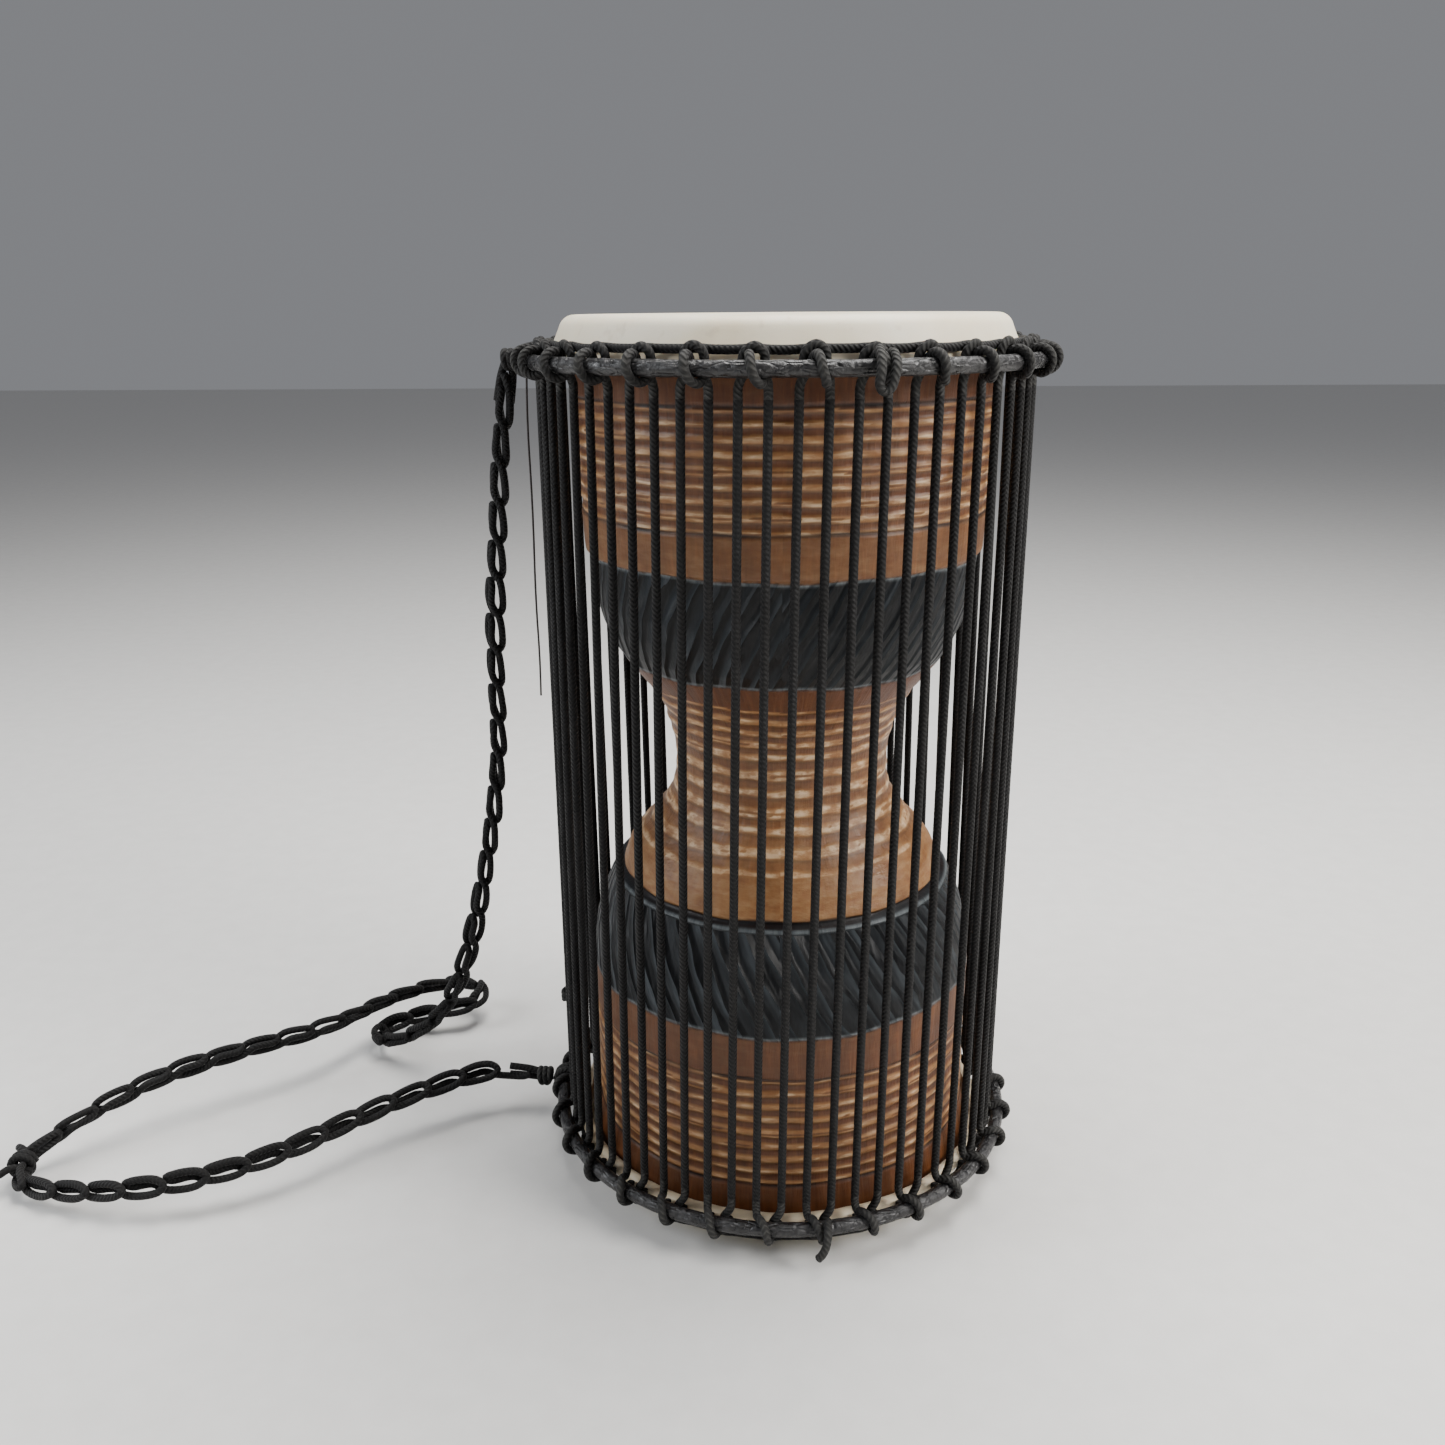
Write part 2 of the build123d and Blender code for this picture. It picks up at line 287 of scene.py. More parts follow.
def skin_material():
    """Ivory goat skin: smooth, faintly mottled, browner down its edge to the hoop with painted shade."""
    m = Nodes("goatskin")
    place = m.object_place()
    clouds = m.noise(place, 16, 4, 0.6, 0.6)
    pores = m.noise(place, 420, 3, 0.7)
    flecks = m.ramp(m.noise(place, 130, 2, 0.5), (0.66, 0.0), (0.74, 1.0))
    colour = m.ramp(clouds, (0.25, (0.80, 0.69, 0.49)), (0.5, (0.88, 0.80, 0.62)),
                    (0.8, (0.92, 0.87, 0.73)))
    colour = m.mix(m.times(flecks, 0.25), colour, (0.55, 0.44, 0.30))
    # Painted shade on the skin's edge: browner down the slope to the hoop.
    colour = m.mix(m.times(m.attribute("edge"), 0.75), colour, (0.40, 0.29, 0.17))
    m.surface(colour, m.ramp(clouds, (0.3, 0.42), (0.7, 0.55)), m.bump(pores, 0.18, 0.0004),
              Subsurface_Weight=0.12, Subsurface_Radius=(0.004, 0.0025, 0.0015), Subsurface_Scale=1.0)
    return m.material


def wood_material():
    """Carved mahogany-brown wood with two charred bands of slanting gouges, painted highlights on its carved
    ridges and painted light and shade on the gouges.
    """
    m = Nodes("shell_wood")
    round_and_up = m.uv()
    tone, band, lean, dark, pale = (m.attribute(name) for name in SHELL_VALUES)
    grain = m.noise(m.stretched(round_and_up, (420, 46, 1)), 1.0, 5, 0.62, 0.4)
    figure = m.noise(m.stretched(round_and_up, (22, 40, 1)), 1.0, 3, 0.5, 1.0)
    knife = m.noise(m.stretched(round_and_up, (95, 300, 1)), 1.0, 4, 0.6)
    brown = m.ramp(grain, (0.25, (0.040, 0.0085, 0.0020)), (0.55, (0.098, 0.0240, 0.0055)),
                   (0.8, (0.170, 0.052, 0.013)))
    tan = m.ramp(knife, (0.30, (0.37, 0.160, 0.052)), (0.50, (0.48, 0.245, 0.090)),
                 (0.70, (0.60, 0.36, 0.160)))
    # The mesh's tone mixes the brown towards tan; it carries painted highlights on the carved ridges and
    # painted light and shade by height.
    wood = m.mix(m.times(tone, m.ramp(figure, (0.32, 0.65), (0.60, 1.0))), brown, tan)
    # Painted highlight: the crests of the carved ridges, where the pale strip is strongest, are lightened
    # towards pale tan.
    crest_highlight = m.times(m.ramp(tone, (0.72, 0.0), (0.95, 1.0)), m.ramp(knife, (0.42, 0.15), (0.60, 0.90)))
    wood = m.mix(crest_highlight, wood, (0.76, 0.56, 0.36))

    around, up = m.split(round_and_up)
    across = m.math("SUBTRACT", around, m.times(m.times(lean, up), GOUGE_LEAN))
    stroke_place = m.new("ShaderNodeCombineXYZ")
    m.put(stroke_place.inputs["X"], m.times(across, 90))
    m.put(stroke_place.inputs["Y"], m.times(up, 26))
    drift = m.noise(stroke_place.outputs["Vector"], 1.0, 2, 0.5)
    saw = m.math("FRACT", m.math("ADD", m.times(across, GOUGES), m.times(drift, 1.3)))
    gouge = m.math("POWER", m.math("ABSOLUTE", m.math("SUBTRACT", m.times(saw, 2), 1)), 1.6)
    scrape = m.noise(m.stretched(round_and_up, (500, 90, 1)), 1.0, 3, 0.6)
    gouged = m.math("ABSOLUTE", lean)
    # Painted light and shade on each gouge: black on one side of the scoop and a painted blue-grey highlight
    # on the side towards the light, its strength varied by the drift noise.
    facet = m.ramp(saw, (0.0, 0.06), (0.16, 0.0), (0.42, 0.10), (0.72, 0.42), (0.92, 1.0))
    facet = m.times(facet, m.ramp(drift, (0.36, 0.35), (0.6, 1.0)))
    facet = m.math("MULTIPLY_ADD", m.math("SUBTRACT", facet, 0.22), gouged, 0.22)
    # Painted shade: the upper band, which faces down, is darkened to about half.
    facet = m.times(facet, m.math("MULTIPLY_ADD", m.math("MAXIMUM", lean, 0.0), -0.45, 0.92))
    # The charred band's own black, with the gouges' painted highlights in blue-grey.
    char_and_facet_light = m.mix(facet, (0.0022, 0.0023, 0.0030), (0.075, 0.088, 0.100))
    char_and_facet_light = m.mix(m.times(m.ramp(scrape, (0.5, 0.0), (0.75, 1.0)), 0.2), char_and_facet_light, (0.05, 0.056, 0.062))
    char_and_facet_light = m.mix(m.times(pale, m.ramp(scrape, (0.3, 0.4), (0.6, 1.0))), char_and_facet_light, (0.20, 0.225, 0.235))

    # dark holds the narrow dark lines and the painted shade line in each hollow.
    colour = m.mix(dark, m.mix(band, wood, char_and_facet_light), (0.010, 0.004, 0.003))
    carved = m.mix(tone, m.times(grain, 0.5), knife)
    scored = m.math("ADD", m.times(m.times(gouge, gouged), 2.2), m.times(scrape, 0.2))
    cuts = m.mix(band, carved, scored)
    fine = m.bump(m.noise(m.object_place(), 700, 3, 0.6), 0.15, 0.0004)
    gloss = m.mix(band, m.ramp(figure, (0.3, 0.38), (0.7, 0.55)), m.ramp(scrape, (0.4, 0.40), (0.7, 0.55)))
    m.surface(colour, gloss, m.bump(cuts, 0.7, 0.0016, fine),
              Specular_IOR_Level=m.math("MULTIPLY_ADD", band, -0.22, 0.5))
    return m.material


def plain_material(name, low, high, roughness, scale, metal=0.0):
    """A fine grain of two tones, for the thread and for what stays hidden inside."""
    m = Nodes(name)
    grain = m.noise(m.object_place(), scale, 4)
    colour = m.ramp(grain, (0.3, low), (0.7, high))
    m.surface(colour, m.ramp(grain, (0.3, roughness), (0.7, roughness + 0.15)),
              m.bump(grain, 0.2, 0.0005), Metallic=metal)
    return m.material


# --- Mesh helpers ---------------------------------------------------------------------------------

def at(angle, radius, z):
    """A point on the drum, its angle counted from the front towards +X."""
    a = math.radians(angle)
    return Vector((radius * math.sin(a), -radius * math.cos(a), z))


def quads(rows, columns, closed):
    """Each face's corners, as row and column. Columns close on themselves, and rows do if closed."""
    for i in range(rows if closed else rows - 1):
        for a in range(columns):
            yield [(i, a), (i, a + 1), (i + 1, a + 1), (i + 1, a)]


def grid_mesh(name, rows, along, around, material, attributes, closed=False, flip=False):
    """A smooth mesh of rings of points, with the texture's coordinates by row and by column."""
    n, k = len(rows), len(rows[0])
    verts = [tuple(p) for row in rows for p in row]
    faces, uvs = [], []
    for corners in quads(n, k, closed):
        if flip:
            corners.reverse()
        faces.append([r % n * k + c % k for r, c in corners])
        uvs += [(along[r], around[c]) for r, c in corners]
    return finish_mesh(name, verts, faces, uvs, material, attributes)


def finish_mesh(name, verts, faces, uvs, material, attributes):
    mesh = bpy.data.meshes.new(name)
    mesh.from_pydata(verts, [], faces)
    mesh.uv_layers.new(name="UVMap").data.foreach_set("uv", np.array(uvs, np.float32).ravel())
    for key, values in attributes.items():
        data = mesh.attributes.new(key, "FLOAT", "POINT").data
        data.foreach_set("value", np.asarray(values, np.float32))
    mesh.polygons.foreach_set("use_smooth", [True] * len(faces))
    mesh.materials.append(material)
    piece = bpy.data.objects.new(name, mesh)
    bpy.context.collection.objects.link(piece)
    return piece


def smooth_through(points, step):
    """Points close together on a smooth line through the given ones."""
    pts = [points[0] * 2 - points[1], *points, points[-1] * 2 - points[-2]]
    out = []
    for a, b, c, d in zip(pts, pts[1:], pts[2:], pts[3:]):
        n = max(2, math.ceil((c - b).length / step))
        for i in range(n):
            t = i / n
            out.append(0.5 * (2 * b + (c - a) * t + (2 * a - 5 * b + 4 * c - d) * t ** 2
                              + (3 * b - a - 3 * c + d) * t ** 3))
    return [*out, points[-1].copy()]


def frames_along(points, closed=False):
    """A direction and two cross directions at each point, turning as little as they can."""
    n = len(points)
    ways = []
    for i in range(n):
        a = points[(i - 1) % n] if closed or i else points[0]
        b = points[(i + 1) % n] if closed or i < n - 1 else points[-1]
        ways.append((b - a).normalized())
    side = ways[0].orthogonal().normalized()
    out = []
    for i, way in enumerate(ways):
        if i:
            side = ways[i - 1].rotation_difference(way) @ side
        side = (side - way * side.dot(way)).normalized()
        out.append((way, side, way.cross(side)))
    return out


class Rope:
    """Gathers round cords into one mesh, with braid coordinates and a wear value."""

    def __init__(self, diameter=CORD, around=12):
        self.diameter, self.around = diameter, around
        self.verts, self.faces, self.uvs, self.wear = [], [], [], []

    def add(self, points, wear, outside, start=0.0, closed=False, spin=0.0, ends=True):
        """One cord along the points. It wears on the side that outside(point) looks to."""
        k, r = self.around, self.diameter / 2
        first = len(self.verts)
        length, run = start, []
        for i, p in enumerate(points):
            if i:
                length += (p - points[i - 1]).length
            run.append(length / self.diameter * BRAIDS)
        run.append((length + (points[0] - points[-1]).length) / self.diameter * BRAIDS)
        if closed:
            whole = max(1, round(run[-1] - run[0])) / (run[-1] - run[0])
            run = [run[0] + (x - run[0]) * whole for x in run]
        frames = frames_along(points, closed)
        twist = 0.0
        if closed:
            way, side, up = frames[0]
            carried = frames[-1][0].rotation_difference(way) @ frames[-1][1]
            twist = math.atan2(carried.dot(up), carried.dot(side))
        for i, (p, (way, side, up)) in enumerate(zip(points, frames)):
            undo = -twist * i / len(points)
            for a in range(k):
                angle = 2 * math.pi * a / k + undo + spin
                normal = side * math.cos(angle) + up * math.sin(angle)
                self.verts.append(tuple(p + normal * r))
                self.wear.append(wear * max(0.0, normal.dot(outside(p))))
        n = len(points)
        for corners in quads(n, k, closed):
            self.faces.append([first + r % n * k + c % k for r, c in corners])
            self.uvs += [(run[r], c / k) for r, c in corners]
        if not closed and ends:
            self.faces.append([first + a for a in reversed(range(k))])
            self.faces.append([first + (n - 1) * k + a for a in range(k)])
            self.uvs += [(0.5, 0.5)] * (2 * k)

    def build(self, name, material):
        return finish_mesh(name, self.verts, self.faces, self.uvs, material, {"wear": self.wear})


def outward(p):
    """Away from the drum's axis, and a little up: the side of a cord that rubs."""
    return Vector((p.x, p.y, 0)).normalized() * 0.85 + Vector((0, 0, 0.4))


def upward(_):
    """For a cord that rubs on top, wherever it is."""
    return Vector((0, 0, 1))


def coil(middle, side, up, radius, turns, count):
    """Points wound round a line; middle(t) is the line's point, as t goes from 0 to 1."""
    points = []
    for i in range(count + 1):
        t = i / count
        a = t * turns * 2 * math.pi
        points.append(middle(t) + (side * math.cos(a) + up * math.sin(a)) * radius)
    return points


def place(piece, body, slot, *nodes):
    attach(piece, body)
    if nodes:
        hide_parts(*nodes)


# --- Strap and loose thread -----------------------------------------------------------------------

STRAP_ROUTE = [
    (-137, 16, 414.0), (-142, 20, 392), (-148, 26, 350), (-157, 35, 268), (-158, 38, 204),
    (-170, 38, 138), (-184, 39, 78), (-203, 42, 36), (-232, 47, 15), (-252, 56, 10),
    (-253, 72, 9), (-236, 83, 11), (-212, 84, 16), (-194, 91, 18), (-195, 110, 19),
    (-214, 114, 20), (-244, 88, 25), (-272, 36, 30), (-310, 10, 32), (-352, -20, 31),
    (-384, -50, 22), (-404, -70, 12), (-400, -87, 9), (-374, -96, 11), (-322, -103, 19),
    (-268, -82, 22), (-222, -34, 23), (-178, -2, 25), (-155, 8, 23), (-141.3, 6, 21),
]
THREAD_ROUTE = [
    (-121.8, -12.7, 417), (-122.8, -13.4, 396), (-122.2, -12.8, 352), (-123.0, -13.6, 306),
    (-122.4, -13.0, 274), (-122.8, -13.6, 256),
]
STRAP_D, THREAD_D = 0.012, 0.001      # the width of the whole chain, and the thread's


def route_curve(name, route):
    """The route's NURBS line, its points in millimetres."""
    data = bpy.data.curves.new(name, "CURVE")
    data.dimensions = "3D"
    data.resolution_u = 24
    spline = data.splines.new("NURBS")
    spline.points.add(len(route) - 1)
    for point, place_mm in zip(spline.points, route):
        point.co = (*(Vector(place_mm) * MM), 1)
    spline.order_u = 3
    spline.use_endpoint_u = True
    curve = bpy.data.objects.new(name, data)
    bpy.context.collection.objects.link(curve)
    return curve


def read_line(curve):
    """The curve's own line as close points, after which the helper is gone."""
    bpy.context.view_layer.update()
    mesh = bpy.data.meshes.new_from_object(curve)
    points = [v.co.copy() for v in mesh.vertices]
    bpy.data.meshes.remove(mesh)
    bpy.data.objects.remove(curve)
    return points


def evenly(points, step):
    """The same line with its points the same distance apart."""
    out, left = [points[0].copy()], step
    for a, b in zip(points, points[1:]):
        gone, whole = 0.0, (b - a).length
        while whole - gone >= left:
            gone += left
            out.append(a.lerp(b, gone / whole))
            left = step
        left -= whole - gone
    return out


def chain_strand(points, pitch):
    """One cord worked into a chain: each link is a loop drawn through the one before."""
    half, deep, step = 0.0038, 0.0023, 0.001
    # A link's path: along in pitches, then across in halves and over in depths.
    link = [(0.02, 0.12, -1.0), (0.35, -0.75, -0.35), (0.80, -1.0, 0.25), (1.18, -0.78, 0.85),
            (1.36, 0.0, 1.1), (1.18, 0.78, 0.85), (0.80, 1.0, 0.25), (0.38, 0.72, -0.3), (0.50, 0.1, -1.05)]
    even = evenly(points, step)
    frames = frames_along(even)
    total = (len(even) - 1) * step
    count = int(total / pitch) - 1
    pitch = total / (count + 1.42)
    strand = []
    for i in range(count + 1):
        loose = 1 + rng.uniform(-0.10, 0.16)
        for s, u, w in link[: 5 if i == count else None]:
            along = min((i + s) * pitch + rng.uniform(-1, 1) * 0.0004, total - step)
            k = min(int(along / step), len(even) - 2)
            way, side, up = frames[k]
            turn = 0.9 + 0.55 * math.sin(along * 11) + 0.35 * math.sin(along * 27 + 1)
            across = side * math.cos(turn) + up * math.sin(turn)
            over = way.cross(across)
            middle = even[k].lerp(even[k + 1], along / step - k)
            strand.append(middle + across * (u * half * loose) + over * (w * deep))
    return smooth_through(strand, 0.0018)


def strap(material):
    """The shoulder strap: a chain worked from the same cord, tied to both rings."""
    line = read_line(route_curve("strap_line", STRAP_ROUTE))
    rope = Rope(STRAND, 10)
    strand = chain_strand(line, 0.0205)
    for p in strand:
        p.z = max(p.z, 0.0022)
    rope.add(strand, 0.35, upward)
    for end in (line, line[::-1]):
        way = (end[1] - end[0]).normalized()
        side = way.cross(Vector((0, 1, 0.3))).normalized()
        inner = next(p for p in end if (p - end[0]).length > 0.014)
        for shift in (-side, side):
            points = [end[0] - way * 0.005 + shift * 0.0018, end[0] + way * 0.003 + shift * 0.003,
                      inner + shift * 0.0034]
            rope.add(smooth_through(points, 0.0015), 0.35, upward)
    piece = rope.build("strap_chain", material)
    place(piece, "drum", "strap_cord", "strap")
    knot = far_knot(material, line)


def far_knot(material, line):
    """The hitch at the strap's far bend, where its two halves join, with both ends cut short."""
    far = min(line, key=lambda p: p.x)
    rope = Rope(STRAND, 10)
    hitch = coil(lambda t: far + Vector((0, 0.003 - 0.006 * t, 0.0005)), Vector((1, 0, 0)), Vector((0, 0, 1)),
                 0.0055, 2, 16)
    rope.add(smooth_through(hitch, 0.0015), 0.4, upward)
    for side, rise in ((1, 0.004), (-1, 0.001)):
        start = far + Vector((0.002, side * 0.004, 0.001))
        tip = far + Vector((-0.007, side * 0.010, rise))
        middle = start.lerp(tip, 0.5) + Vector((0, 0, 0.002))
        rope.add(smooth_through([start, middle, tip], 0.002), 0.4, upward)
    lowest = min(v[2] for v in rope.verts)
    rope.verts = [(x, y, z + max(0.0, 0.0004 - lowest)) for x, y, z in rope.verts]
    piece = rope.build("strap_far_knot", material)
    place(piece, "drum", "strap_cord")
    return piece


def loose_thread(material):
    """A thin thread that has worked loose and hangs from the upper ring."""
    piece = route_curve("loose_thread_line", THREAD_ROUTE)
    piece.data.bevel_depth = THREAD_D / 2
    piece.data.bevel_resolution = 3
    piece.data.materials.append(material)
    place(piece, "drum", "thread", "loose_thread")
    line = read_line(route_curve("thread_line", THREAD_ROUTE))


# --- Lacing ---------------------------------------------------------------------------------------

def cord_point(angle, z):
    """The point at this height on the straight run that meets the upper ring at this angle."""
    low, high = at(angle - TWIST, CORD_R, Z_LOW + RUN_END), at(angle, CORD_R, Z_HIGH - RUN_END)
    return low.lerp(high, (z - low.z) / (high.z - low.z))


def off_centre(angle, centre):
    return abs((angle - centre + 180) % 360 - 180)


CORD_ANGLES = [STEP / 2 * (i + 0.5) for i in range(2 * STATIONS)]


def tension_cords(material):
    """Sixty straight runs. The front and back groups are in three lengths, the middle one on a body of its
    own.
    """
    bottom, top = Z_LOW + RUN_END, Z_HIGH - RUN_END
    offsets = {a: rng.random() for a in CORD_ANGLES}
    groups = []
    for side, centre in (("front", 0), ("back", 180)):
        inside = [a for a in CORD_ANGLES if off_centre(a, centre) < SQUEEZED * STEP / 2]
        groups += [(f"{side}_cords_lower", inside, bottom, GRIP_LOW),
                   (f"{side}_cords_grip", inside, GRIP_LOW, GRIP_HIGH),
                   (f"{side}_cords_upper", inside, GRIP_HIGH, top)]
    still = [a for a in CORD_ANGLES if min(off_centre(a, c) for c in (0, 180)) >= SQUEEZED * STEP / 2]
    groups += [("right_tension_cords", [a for a in still if a < 180], bottom, top),
               ("left_tension_cords", [a for a in still if a > 180], bottom, top)]
    for node, angles, low, high in groups:
        rope = Rope()
        steps = max(2, round((high - low) / 0.006))
        for a in angles:
            points = [cord_point(a, low + (high - low) * i / steps) for i in range(steps + 1)]
            rope.add(points, 0.12, outward, low + offsets[a], spin=math.radians(a), ends=False)
        piece = rope.build(f"{node}_rope", material)
        side = node.split("_")[0]
        if node.endswith(("lower", "upper")):
            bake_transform(piece)
            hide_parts(node)
        else:
            place(piece, f"{side}_squeezed_cords" if node.endswith("grip") else "drum", "black_cord", node)


def beside_ring(angle, u, out, up, top):
    """A point beside a ring, in mm: u along it, out from it and up from it, mirrored for the lower ring."""
    radius = RING_R + out * MM
    way = math.degrees(u * MM / radius)
    return at(angle + (way if top else -way), radius, Z_HIGH + up * MM if top else Z_LOW - up * MM)


def ring_turns(material, top):
    """Where the tension cord goes round a ring, out under the crown cord's arch."""
    end, first = ("top", FIRST_TOP) if top else ("bottom", FIRST_BOTTOM)
    rope = Rope()
    w = WRAP / MM
    k = (w - 0.2) * 0.7072
    foot = math.radians(STEP / 4) * CORD_R / MM
    # Up inside the ring, over it, down its outer side, back under it and inside again.
    middle = [(-6.0, -w, -7.4), (-4.9, -w, -4.2), (-2.2, -w, 0), (-1.0, -k, k), (-0.4, 0, w - 0.2),
              (0.3, k, k), (0.9, w - 0.2, 0), (2.0, k, -k), (3.9, 0.4, -w), (5.6, -k, -k - 0.3),
              (6.05, -w, -8.0)]
    into_ring = Vector((0, 0, 1.5 * MM if top else -1.5 * MM))
    for i in range(STATIONS):
        station = first + STEP * i
        slip = rng.uniform(-0.7, 0.7)
        slant = rng.uniform(0.7, 1.3)
        left, right = (beside_ring(station, u, -w, -RUN_END / MM, top) for u in (-foot, foot))
        points = [left, left + into_ring]
        for u, out, up in middle:
            swing = slip if -0.5 < u < 3 else 0
            slide = u * slant if 0 < u < 3 else u
            points.append(beside_ring(station, slide + swing, out, up, top))
        points += [right + into_ring, right]
        rope.add(smooth_through(points, SPACING), 0.95, outward, ends=False)
    piece = rope.build(f"{end}_ring_turns_rope", material)
    place(piece, "drum", "black_cord", f"{end}_ring_turns")


def crown(material, top):
    """The crown cord on the skin and its arch at each station."""
    end, first = ("top", FIRST_TOP) if top else ("bottom", FIRST_BOTTOM)
    low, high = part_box(f"{end}_crown_cord")
    crown_r, level = high[0] - CORD / 2, (low[2] + high[2]) / 2
    per_station = 10
    sag = [rng.uniform(-0.4, 0.5) for _ in range(STATIONS)]
    line = []
    for i in range(STATIONS * per_station):
        station, t = divmod(i, per_station)
        t = t / per_station
        hump = math.exp(-((min(t, 1 - t) * STEP) / 2.4) ** 2)      # lifted where an arch holds it
        rise = 0.5 * hump + sag[station] * math.sin(math.pi * t)
        line.append(at(first + STEP * (station + t), crown_r + 0.7 * hump * MM,
                       level + (rise if top else -rise) * MM))
    rope = Rope()
    rope.add(line, 0.5, upward if top else lambda p: -upward(p), closed=True)
    piece = rope.build(f"{end}_crown_rope", material)
    place(piece, "drum", "black_cord", f"{end}_crown_cord")

    arch = [(-4.7, -6.5, 0.8), (-4.6, -6.3, 3.0), (-3.5, -5.8, 6.4), (0.2, -5.4, 8.5), (3.7, -5.8, 6.4),
            (4.6, -6.3, 3.0), (4.7, -6.5, 0.8)]
    arches = Rope()
    for i in range(STATIONS):
        tip = rng.uniform(-0.7, 0.7)
        lift = rng.uniform(-0.5, 0.6)
        points = [beside_ring(first + STEP * i, u + tip * up / 9, out, up + (lift if up > 6 else 0), top)
                  for u, out, up in arch]
        arches.add(smooth_through(points, SPACING), 0.6, outward)
    piece = arches.build(f"{end}_crown_arches", material)
    place(piece, "drum", "black_cord", f"{end}_crown_loops")


def short_cord(name, node, points, material):
    """A short piece of black cord through the points."""
    rope = Rope()
    rope.add(smooth_through(points, SPACING), 1.0, outward)
    place(rope.build(name, material), "drum", "black_cord", node)


def front_knot(material):
    """The doubled turn at the front of the upper ring."""
    path = [(5.2, -1.5, 5.6), (4.2, 4.0, 5.2), (3.4, 8.6, 1.5), (2.2, 9.9, -3.0), (0.8, 9.4, -7.2),
            (-1.6, 8.6, -8.6), (-3.4, 8.4, -6.0), (-3.0, 8.8, -1.0), (-2.2, 6.4, 4.2), (-1.2, 1.2, 7.2)]
    points = [beside_ring(FIRST_TOP + STEP, *p, True) for p in path]
    short_cord("front_knot_rope", "front_knot", points, material)


def cord_tail(material):
    """The cord's cut end, hanging in front of the lower ring."""
    k = WRAP / MM
    path = [(2.5, 3.0, 6.2), (1.8, k + 2.6, 3.0), (0.6, k + 4.3, -3.0), (-1.2, k + 4.2, -7.5),
            (-2.6, k + 3.6, -9.8)]
    points = [at(FIRST_BOTTOM + STEP + math.degrees(u * MM / RING_R), RING_R + out * MM, Z_LOW + up * MM)
              for u, out, up in path]
    short_cord("cord_tail_rope", "cord_tail", points, material)


def cord_splice(material):
    """A thin whipping round one cord at the left."""
    rope = Rope(0.0026, 10)
    whipping = coil(lambda t: cord_point(-81, 0.0878 - 0.0065 * t), Vector((1, 0, 0)), Vector((0, 1, 0)),
                    0.0033, 2.5, 40)
    rope.add(smooth_through(whipping, 0.001), 0.6, outward)
    piece = rope.build("cord_splice_rope", material)
    place(piece, "drum", "black_cord", "cord_splice")


def strap_tie(material, end, angle, z, ring_z):
    """Two turns round a ring, then a coil round the strap's end."""
    tie = Rope()
    for u in (-2.02, 2.02):
        ring = []
        for i in range(24):
            a = 2 * math.pi * i / 24
            lift = 0.5 * MM if math.cos(a) > 0 else 0
            ring.append(at(angle + math.degrees(u * MM / RING_R), RING_R + math.cos(a) * (WRAP + lift),
                           ring_z + math.sin(a) * WRAP))
        tie.add(ring, 0.9, outward, closed=True)
    start, out = at(angle, RING_R + WRAP + 0.0076, z), at(angle, 1, 0)
    up = Vector((0, 0, 1))
    hitch = coil(lambda t: start + out * (t - 0.5) * 0.007, up.cross(out), up, 0.0036, 2.5, 32)
    tie.add(smooth_through(hitch, SPACING), 0.8, outward)
    piece = tie.build(f"strap_{end}_hitch", material)
    place(piece, "drum", "strap_cord", f"strap_{end}_tie")


# --- Rings and heads ------------------------------------------------------------------------------

def ring_wrap(material, top):
    """The ring bound in wrinkled hide."""
    around, along = 20, 480
    end, z = ("top", Z_HIGH) if top else ("bottom", Z_LOW)
    bumps = [rng.uniform(-1, 1) for _ in range(96)]
    rows, wear = [], []
    for i in range(along):
        t = i / along * len(bumps)
        k = int(t)
        ease = 0.5 - 0.5 * math.cos(math.pi * (t - k))
        swell = bumps[k] + (bumps[(k + 1) % len(bumps)] - bumps[k]) * ease
        row = []
        for a in range(around):
            angle = 2 * math.pi * a / around
            r = RING_TUBE / 2 + (0.10 * swell + 0.07 * math.sin(3 * angle + 9 * swell)) * MM
            row.append(at(360 * i / along, RING_R + r * math.cos(angle), z + r * math.sin(angle)))
            wear.append(max(0.0, 0.35 + 0.55 * math.cos(angle - (0.7 if top else 0.5))))
        rows.append(row)
    u, v = [i / along * 76 for i in range(along + 1)], [j / around * 2.2 for j in range(around + 1)]
    piece = grid_mesh(f"{end}_ring_hide", rows, u, v, material, {"wear": wear}, closed=True, flip=True)
    place(piece, "drum", "black_hide", f"{end}_ring_hide_wrap")


def head_profile(depth):
    """The skin's section, as radius, depth below its face, and how much painted shade browns it there."""
    flat_r, shoulder, hoop_r, hoop_tube = 0.099, 0.0075, 0.1095, 0.0035
    away = Vector((hoop_r - flat_r, depth - shoulder))
    lean = math.degrees(math.atan2(away.y, away.x) + math.asin((shoulder - hoop_tube) / away.length)) - 90
    profile = [(r, 0, 0) for r in (0.0001, 0.02, 0.04, 0.06, 0.08, 0.092)]
    for i in range(9):
        a = math.radians(-90 + (90 + lean) * i / 8)
        profile.append((flat_r + shoulder * math.cos(a), shoulder + shoulder * math.sin(a), 0.1 * i / 8))
    start = profile[-1]
    a = math.radians(lean)
    end = (hoop_r + hoop_tube * math.cos(a), depth + hoop_tube * math.sin(a))
    for i in range(1, 8):
        t = i / 8
        profile.append((start[0] + (end[0] - start[0]) * t - 0.0004 * math.sin(math.pi * t),
                        start[1] + (end[1] - start[1]) * t, 0.1 + 0.5 * t))
    for i in range(9):
        a = math.radians(lean + (125 - lean) * i / 8)
        profile.append((hoop_r + hoop_tube * math.cos(a), depth + hoop_tube * math.sin(a),
                        0.6 + 0.4 * min(1, i / 3)))
    return profile


